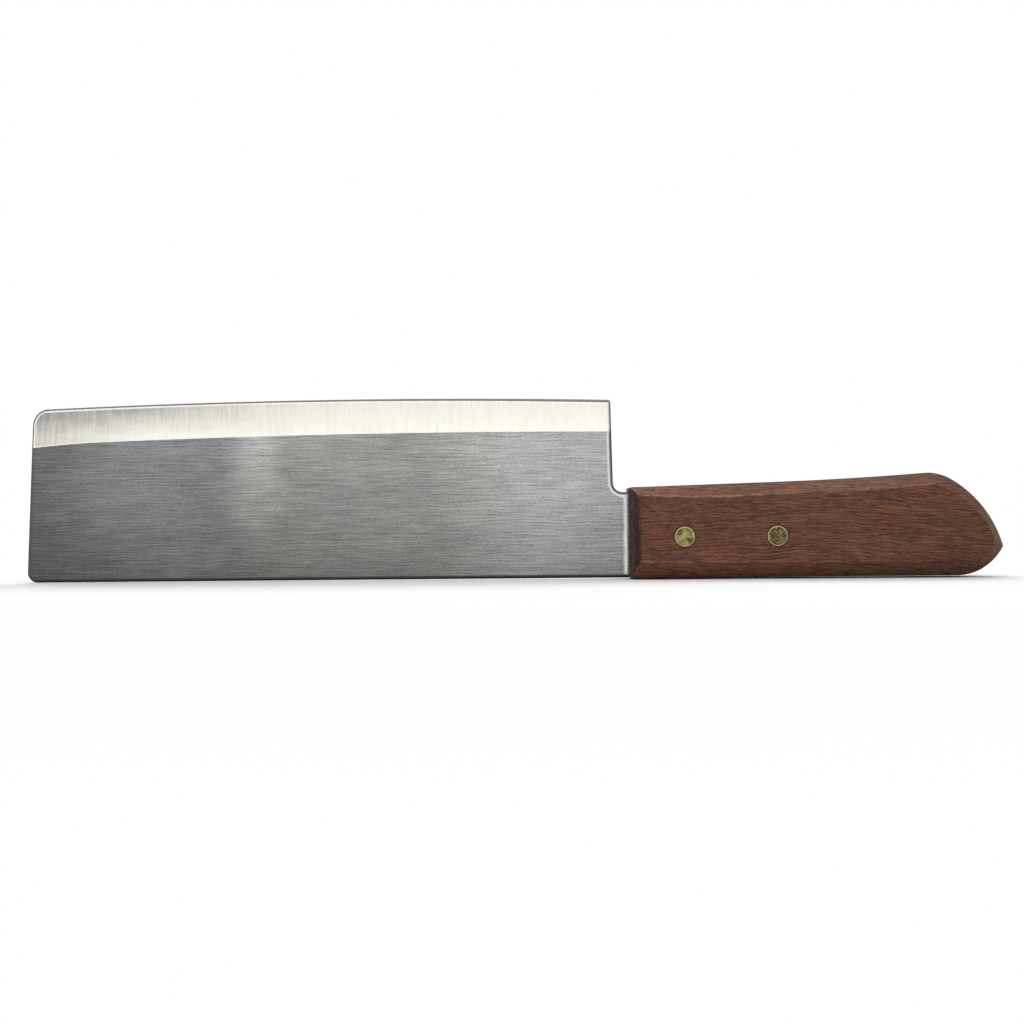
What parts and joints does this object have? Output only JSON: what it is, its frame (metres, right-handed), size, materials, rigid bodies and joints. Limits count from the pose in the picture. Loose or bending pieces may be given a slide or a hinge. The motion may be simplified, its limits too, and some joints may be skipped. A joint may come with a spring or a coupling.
{
  "type": "vegetable cleaver",
  "caption": "Light rectangular kitchen cleaver: thin steel blade with a wide ground bevel, a square heel notch and a riveted one-piece wooden handle.",
  "frame": {"origin": "middle of the knife's length and thickness, at the level of the spine and the handle's underside, on which it stands", "axes": "+X from the blade towards the butt, +Y through the thickness, +Z from the spine to the cutting edge"},
  "size_m": [0.2979, 0.018, 0.0554],
  "materials": {
    "steel": "flats brushed along the blade, bevel ground across it and bright",
    "wood": "satin oiled reddish-brown hardwood with fine open pores",
    "brass": "sanded flush, dulled in patches, brighter round the rim"
  },
  "bodies": {
    "root": {"blade": "steel", "handle": "wood", "front_rivet_stud": "brass", "front_rivet_sleeve": "brass", "rear_rivet_stud": "brass", "rear_rivet_sleeve": "brass"}
  },
  "joints": []
}
